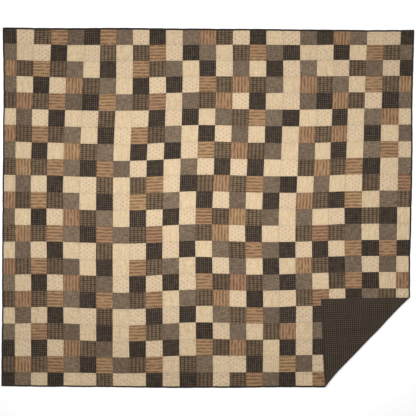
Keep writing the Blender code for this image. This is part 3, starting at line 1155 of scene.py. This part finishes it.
@dataclass(frozen=True)
class Plaid(Cotton):
    """Dark plaid: broad dark upright lines, fine dark level ones, and a few in rust and khaki."""

    dark: Colour = linear(47, 34, 24)
    line_soft: float = 0.6
    rust: Colour = linear(112, 82, 64)
    rust_share: float = 0.6
    rust_spot: Size = (0.02, 0.045)
    rust_ends: Range = (0.52, 0.68)
    khaki: Colour = linear(142, 124, 92)
    khaki_share: float = 0.4
    khaki_width: float = 0.0040
    upright_pitch: float = 0.0286
    upright_width: float = 0.0080
    upright_spot: Size = (0.03, 0.05)
    upright_strength: Range = (0.18, 1.08)
    level_pitch: float = 0.0146
    level_width: float = 0.0062
    level_spot: Size = (0.06, 0.022)
    level_ends: Range = (0.3, 0.7)
    level_strength: Range = (0.35, 0.95)

    def pattern(self, graph: Graph, u: Value, v: Value) -> Value:
        """The plaid's lines, one set over another."""
        rust = graph.spots(u, v, self.rust_spot, self.rust_ends)
        cloth = graph.mix(graph.scaled(rust, self.rust_share), self.colour, self.rust)
        between = graph.scaled(u, 1.0, self.upright_pitch / 2)
        khaki = graph.lines(between, self.upright_pitch, self.khaki_width)
        cloth = graph.mix(graph.scaled(khaki, self.khaki_share), cloth, self.khaki)
        strength = graph.span(graph.spots(u, v, self.level_spot, self.level_ends), *self.level_strength)
        level = graph.times(graph.lines(v, self.level_pitch, self.level_width, self.line_soft), strength)
        cloth = graph.mix(level, cloth, self.dark)
        strength = graph.span(graph.noise(u, v, self.upright_spot, 1.0), *self.upright_strength)
        upright = graph.lines(u, self.upright_pitch, self.upright_width, self.line_soft)
        return graph.mix(graph.times(upright, strength), cloth, self.dark)


@dataclass(frozen=True)
class Pinstripe(Cotton):
    """Black cotton with khaki pinstripes and a fainter line across them."""

    pin: Colour = linear(113, 95, 78)
    pitch: float = 0.0145
    pin_width: float = 0.0055
    upright_spot: Size = (0.012, 0.08)
    upright_ends: Range = (0.25, 0.65)
    upright_strength: Range = (0.35, 0.90)
    level_spot: Size = (0.05, 0.02)
    level_ends: Range = (0.35, 0.65)
    level_strength: Range = (0.25, 0.80)

    def pattern(self, graph: Graph, u: Value, v: Value) -> Value:
        """Pinstripes over the plain colour."""
        strength = graph.span(graph.spots(u, v, self.upright_spot, self.upright_ends), *self.upright_strength)
        upright = graph.times(graph.pins(u, self.pitch, self.pin_width), strength)
        strength = graph.span(graph.spots(u, v, self.level_spot, self.level_ends), *self.level_strength)
        level = graph.times(graph.pins(v, self.pitch, self.pin_width), strength)
        return graph.mix(graph.math("MAXIMUM", upright, level), self.colour, self.pin)


@dataclass(frozen=True)
class FineCheck(Cotton):
    """Dark backing cotton with a fine check of darker and lighter threads."""

    dark: Colour = linear(23, 17, 12)
    dark_share: float = 0.75
    dark_width: float = 0.0045
    dark_soft: float = 0.6
    pale: Colour = linear(122, 104, 85)
    pale_share: float = 0.55
    pale_width: float = 0.0048
    pitch: float = 0.0146
    spot: Size = (0.08, 0.25)
    spot_ends: Range = (0.35, 0.65)
    strength: Range = (0.5, 1.0)
    # Painted shade on the fold's roll: its colour, its greatest share, and the on_edge share at which it is
    # full
    in_shade: Colour = linear(24, 19, 16)
    fold_shade: float = 0.9
    fully_shaded: float = 0.6

    def pattern(self, graph: Graph, u: Value, v: Value) -> Value:
        """The check's lines both ways, stronger in some parts than in others, and painted shade along the
        fold.
        """
        cloth: Value = self.colour
        for place, spot in ((u, self.spot), (v, self.spot[::-1])):
            strength = graph.span(graph.spots(u, v, spot, self.spot_ends), *self.strength)
            dark = graph.times(graph.lines(place, self.pitch, self.dark_width, self.dark_soft), strength)
            between = graph.scaled(place, 1.0, self.pitch / 2)
            pale = graph.times(graph.pins(between, self.pitch, self.pale_width), strength)
            cloth = graph.mix(graph.scaled(dark, self.dark_share), cloth, self.dark)
            cloth = graph.mix(graph.scaled(pale, self.pale_share), cloth, self.pale)
        # Painted shade: where the cloth stands on edge in the fold's roll, it is mixed towards in_shade
        on_edge = graph.ramp(graph.attribute("on_edge"), 0.0, self.fully_shaded)
        return graph.mix(graph.scaled(on_edge, self.fold_shade), cloth, self.in_shade)


@dataclass(frozen=True)
class StitchedBinding(Cotton):
    """Black binding, sewn down along its hem on both faces and rubbed paler underneath."""

    rubbed: Colour = linear(60, 51, 43)
    rubbed_from: float = 0.002
    stitch: Colour = linear(66, 58, 51)
    stitch_depth: float = 0.0100
    stitch_pitch: float = 0.0036
    stitch_length: float = 0.0027
    stitch_width: float = 0.0007
    stitch_edge: Range = (0.7, 0.3)
    stitch_soft: float = 0.3
    stitch_height: float = 4.0

    def stitches(self, graph: Graph) -> bpy.types.NodeSocket:
        """A mask of the stitches, 1 on a stitch and 0 between."""
        run, depth = graph.map("hem")
        past_line = graph.scaled(graph.math("ABSOLUTE", depth), 1.0, -self.stitch_depth)
        outer, inner = (self.stitch_width * share for share in self.stitch_edge)
        line = graph.ramp(graph.math("ABSOLUTE", past_line), outer, inner)
        return graph.times(line, graph.lines(run, self.stitch_pitch, self.stitch_length, self.stitch_soft))

    def pattern(self, graph: Graph, u: Value, v: Value) -> Value:
        """Stitches over the colours of the two faces."""
        _, depth = graph.map("hem")
        cloth = graph.mix(graph.ramp(depth, 0.0, -self.rubbed_from), self.colour, self.rubbed)
        return graph.mix(self.stitches(graph), cloth, self.stitch)

    def threads(self, graph: Graph, u: Value, v: Value) -> bpy.types.NodeSocket:
        """Height of the weave, and of the stitches over it."""
        raised = graph.scaled(self.stitches(graph), self.stitch_height)
        return graph.plus(super().threads(graph, u, v), raised)


CREAM = CreamCotton("cream_cotton", linear(209, 187, 154))
SPECKLED = SpeckledCotton("speckled_cotton", linear(201, 178, 147), mottle=0.08)
CHAMBRAY = Chambray("grey_chambray", linear(91, 75, 60), tone_spread=0.16, hue_spread=0.004)
STRIPE = WavyStripe("tan_wavy_stripe", linear(165, 129, 96), tone_spread=0.08, hue_spread=0.006)
PLAID = Plaid("dark_plaid", linear(106, 89, 70), tone_spread=0.13)
PINSTRIPE = Pinstripe("black_pinstripe", linear(30, 25, 21), tone_spread=0.12)
BACKING_CHECK = FineCheck("dark_check", linear(54, 45, 37), mottle=0.08, tone_spread=0.0, hue_spread=0.0)
BINDING_BLACK = StitchedBinding("black_binding", linear(43, 37, 32), mottle=0.10)

CLOTHS = {
    Patch.CREAM: CREAM,
    Patch.SPECKLED: SPECKLED,
    Patch.CHAMBRAY: CHAMBRAY,
    Patch.LEVEL_STRIPE: STRIPE,
    Patch.UPRIGHT_STRIPE: STRIPE,
    Patch.PLAID: PLAID,
    Patch.PINSTRIPE: PINSTRIPE,
}


# The quilt's pieces


@dataclass
class PatchworkTop:
    """The pieced and quilted top."""

    lie: Lie
    name: str = "pieced_top"
    places: tuple[float, ...] = (0.025, 0.07, 0.15, 0.27, 0.42, 0.58, 0.73, 0.85, 0.93, 0.975)
    offset_seed: int = 21
    tone_spread: float = 0.6
    tone_limit: float = 1.2
    cloths: tuple[Cotton, ...] = tuple(dict.fromkeys(CLOTHS.values()))

    def build(self) -> bpy.types.Object:
        """Makes the top, with each patch's cloth laid at its own place and turn.

        Returns:
            The piece.
        """
        plan = self.lie.plan
        draft, cells = PanelMesh(self.lie, self.places).draft(self.lie.top_face, self.lie.top_underside)
        rows = Layout(plan).patches()
        slots = np.array([[self.cloths.index(CLOTHS[patch]) for patch in row] for row in rows])
        upright = np.array([[patch is Patch.UPRIGHT_STRIPE for patch in row] for row in rows])
        draw = np.random.default_rng(self.offset_seed)
        offsets = draw.uniform(0.0, 1.0, (*slots.shape, 2))
        tones = np.clip(draw.normal(0.0, self.tone_spread, slots.shape), -self.tone_limit, self.tone_limit)
        column, row = cells.T
        draft.slots = slots[row, column]
        draft.tones = tones[row, column]
        corners, places, shares = draft.in_patches(plan, cells)
        corner_column, corner_row = corners.T
        across, up = places.T
        turned = upright[corner_row, corner_column]
        cloth = np.stack([np.where(turned, up, across), np.where(turned, -across, up)], 1)
        draft.maps["cloth"] = cloth + offsets[corner_row, corner_column]
        draft.maps["patch"] = shares
        piece = draft.laid(self.name, self.lie, [cloth.material() for cloth in self.cloths])
        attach(piece, "root")
        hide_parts("patchwork_top")
        return piece


@dataclass
class Backing:
    """The dark panel under the quilt, which shows on the folded corner."""

    lie: Lie
    name: str = "backing_cloth"
    places: tuple[float, ...] = (0.06, 0.2, 0.4, 0.6, 0.8, 0.94)
    tone_seed: int = 33
    cloth: Cotton = BACKING_CHECK

    def build(self) -> bpy.types.Object:
        """Makes the backing.

        Returns:
            The piece.
        """
        plan = self.lie.plan
        draft, cells = PanelMesh(self.lie, self.places).draft(self.lie.backing_face, self.lie.backing_inside)
        draft.maps["cloth"] = draft.points[draft.corners(), :2]
        draft.maps["patch"] = draft.in_patches(plan, cells)[2]
        column, row = cells.T
        tones = np.random.default_rng(self.tone_seed).uniform(-1, 1, (plan.rows, plan.columns))
        draft.tones = tones[row, column]
        piece = draft.laid(self.name, self.lie, [self.cloth.material()])
        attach(piece, "root")
        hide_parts("backing")
        return piece


class Side(Enum):
    """A side of the quilt, by the CAD node of its strip of binding."""

    FOOT = "binding_foot"
    HEAD = "binding_head"
    LEFT = "binding_left"
    RIGHT = "binding_right"


@dataclass
class Binding:
    """The strips of black cloth folded round the raw edges, mitred at the corners."""

    lie: Lie
    step: float = 0.012
    mitre_gap: float = 0.00015
    nose_length: float = 0.0030
    nose_steps: int = 8
    hem_steps: int = 4
    cloth: Cotton = BINDING_BLACK

    def profile(self) -> Array:
        """Outline of the strip, as distance in from the quilt's edge and height, from the floor leg round."""
        layers = self.lie.layers
        half = layers.binding_height / 2
        leg = layers.binding_cloth / 2
        nose = np.linspace(-math.pi / 2, math.pi / 2, self.nose_steps + 1)
        outside = [(self.nose_length * (1 - math.cos(a)), half + half * math.sin(a)) for a in nose]
        hem = np.linspace(math.pi / 2, -math.pi / 2, self.hem_steps + 1)
        end = layers.binding_width - leg
        upper = [(end + leg * math.cos(a), layers.binding_height - leg + leg * math.sin(a)) for a in hem]
        lower = [(end + leg * math.cos(a), leg + leg * math.sin(a)) for a in hem]
        middle = (self.nose_length + end) / 2
        wall = [
            (middle, layers.binding_height - layers.binding_cloth),
            (layers.binding_wall, layers.binding_height - layers.binding_cloth),
            (layers.binding_wall, layers.binding_cloth),
            (middle, layers.binding_cloth),
        ]
        floor_leg = [(middle, 0.0)]
        roof_leg = [(middle, layers.binding_height)]
        return np.array([*floor_leg, *outside, *roof_leg, *upper, *wall, *lower])

    def build_side(self, side: Side, material: bpy.types.Material) -> bpy.types.Object:
        """Makes one side's strip.

        Args:
            side: The side.
            material: The strip's material.

        Returns:
            The piece.
        """
        plan, layers = self.lie.plan, self.lie.layers
        level = side in (Side.FOOT, Side.HEAD)
        total = plan.width if level else plan.length
        profile = self.profile()
        depth, height = profile.T
        runs = np.linspace(0, total, round(total / self.step) + 1)
        mitre = 2 * layers.binding_width
        inner = [np.full(len(depth), run) for run in runs[(runs > mitre) & (runs < total - mitre)]]
        rings = [depth + self.mitre_gap, *inner, total - depth - self.mitre_gap]
        run = np.concatenate(rings)
        depths = np.tile(depth, len(rings))
        signed_depths = np.tile(np.where(height < layers.binding_height / 2, -depth, depth), len(rings))
        x, y = {
            Side.FOOT: (run, depths),
            Side.HEAD: (run, plan.length - depths),
            Side.LEFT: (depths, run),
            Side.RIGHT: (plan.width - depths, run),
        }[side]
        points = np.stack([x, y, np.tile(height, len(rings))], 1)
        edges = np.linalg.norm(np.diff([*profile, profile[0]], axis=0), axis=1)
        around = np.concatenate([[0.0], np.cumsum(edges)])
        count = len(profile)
        faces, places, hems = [], [], []
        for ring in range(len(rings) - 1):
            first, second = ring * count, (ring + 1) * count
            for k in range(count):
                after = (k + 1) % count
                faces.append((first + k, second + k, second + after, first + after))
                ends = ((first + k, k), (second + k, k), (second + after, k + 1), (first + after, k + 1))
                places += [(run[number], around[step]) for number, step in ends]
                hems += [(run[number], signed_depths[number]) for number, _ in ends]
        for cap in (range(count), range(len(points) - 1, len(points) - count - 1, -1)):
            faces.append(tuple(cap))
            places += [(run[number], depths[number]) for number in cap]
            hems += [(run[number], 0.0) for number in cap]
        cloth = np.array(places)
        maps = {"cloth": cloth, "patch": np.full_like(cloth, 0.5), "hem": np.array(hems)}
        draft = Draft(points, faces, maps, tones=np.zeros(len(faces)))
        piece = draft.laid(f"{side.value}_cloth", self.lie, [material])
        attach(piece, "root")
        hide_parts(side.value)
        return piece

    def build(self) -> list[bpy.types.Object]:
        """Makes the four strips.

        Returns:
            The pieces.
        """
        material = self.cloth.material()
        return [self.build_side(side, material) for side in Side]


# The studio


@dataclass(frozen=True)
class Studio:
    """A plain pale floor, soft light from above, and the camera straight over the quilt."""

    floor_size: float = 60.0
    floor_colour: Colour = (0.97, 0.97, 0.97, 1.0)
    floor_roughness: float = 0.9
    floor_glow: float = 0.2
    sky_strength: float = 0.425
    softbox_power: float = 73.5
    softbox_size: tuple[float, float] = (3.0, 1.0)
    softbox_place: tuple[float, float, float] = (-0.1, 0.2, 2.4)
    lens: float = 85.0
    sensor: float = 36.0
    view_width: float = 3.095
    view_middle: tuple[float, float] = (0.0014, -0.0018)

    def floor(self) -> bpy.types.Object:
        """Makes the floor."""
        bpy.ops.mesh.primitive_plane_add(size=self.floor_size, location=(0, 0, 0))
        floor = bpy.context.object
        floor.name = "studio_floor"
        graph = Graph("studio_floor")
        graph.feed(graph.shader.inputs["Base Color"], self.floor_colour)
        graph.shader.inputs["Roughness"].default_value = self.floor_roughness
        graph.shader.inputs["Emission Color"].default_value = (1.0, 1.0, 1.0, 1.0)
        graph.shader.inputs["Emission Strength"].default_value = self.floor_glow
        floor.data.materials.append(graph.material)
        return floor

    def lights(self) -> None:
        """Sets a pale sky, and one soft box over the quilt that falls off towards its edges."""
        world = bpy.context.scene.world or bpy.data.worlds.new("studio")
        bpy.context.scene.world = world
        world.use_nodes = True
        sky = world.node_tree.nodes["Background"]
        sky.inputs["Color"].default_value = (1.0, 1.0, 1.0, 1.0)
        sky.inputs["Strength"].default_value = self.sky_strength
        light = bpy.data.lights.new("softbox", "AREA")
        light.shape = "RECTANGLE"
        light.size, light.size_y = self.softbox_size
        light.energy = self.softbox_power
        softbox = bpy.data.objects.new("softbox", light)
        softbox.location = self.softbox_place
        softbox.visible_camera = False
        bpy.context.scene.collection.objects.link(softbox)

    def camera(self) -> bpy.types.Object:
        """Sets the camera straight over the quilt, with the head at the top of the picture."""
        data = bpy.data.cameras.new("camera")
        data.lens = self.lens
        data.sensor_width = self.sensor
        camera = bpy.data.objects.new("camera", data)
        camera.location = (*self.view_middle, self.view_width * self.lens / self.sensor)
        bpy.context.scene.collection.objects.link(camera)
        bpy.context.scene.camera = camera
        return camera

    def build(self) -> None:
        """Makes the floor, the lights and the camera, and shows colours as they are."""
        self.camera()
        self.lights()
        self.floor()
        bpy.context.scene.view_settings.view_transform = "Standard"


def report(pieces: list[bpy.types.Object]) -> None:
    """Logs each piece with its number of triangles."""
    for piece in pieces:
        piece.data.calc_loop_triangles()
        log.info("%s: %d triangles", piece.name, len(piece.data.loop_triangles))


def main() -> None:
    """Builds the studio and the quilt's pieces."""
    logging.basicConfig(level=logging.INFO, format="%(message)s")
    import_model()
    bpy.ops.object.select_all(action="DESELECT")
    Studio().build()
    lie = Lie()
    backing = Backing(lie).build()
    top = PatchworkTop(lie).build()
    strips = Binding(lie).build()
    report([backing, top, *strips])


if __name__ == "__main__":
    main()
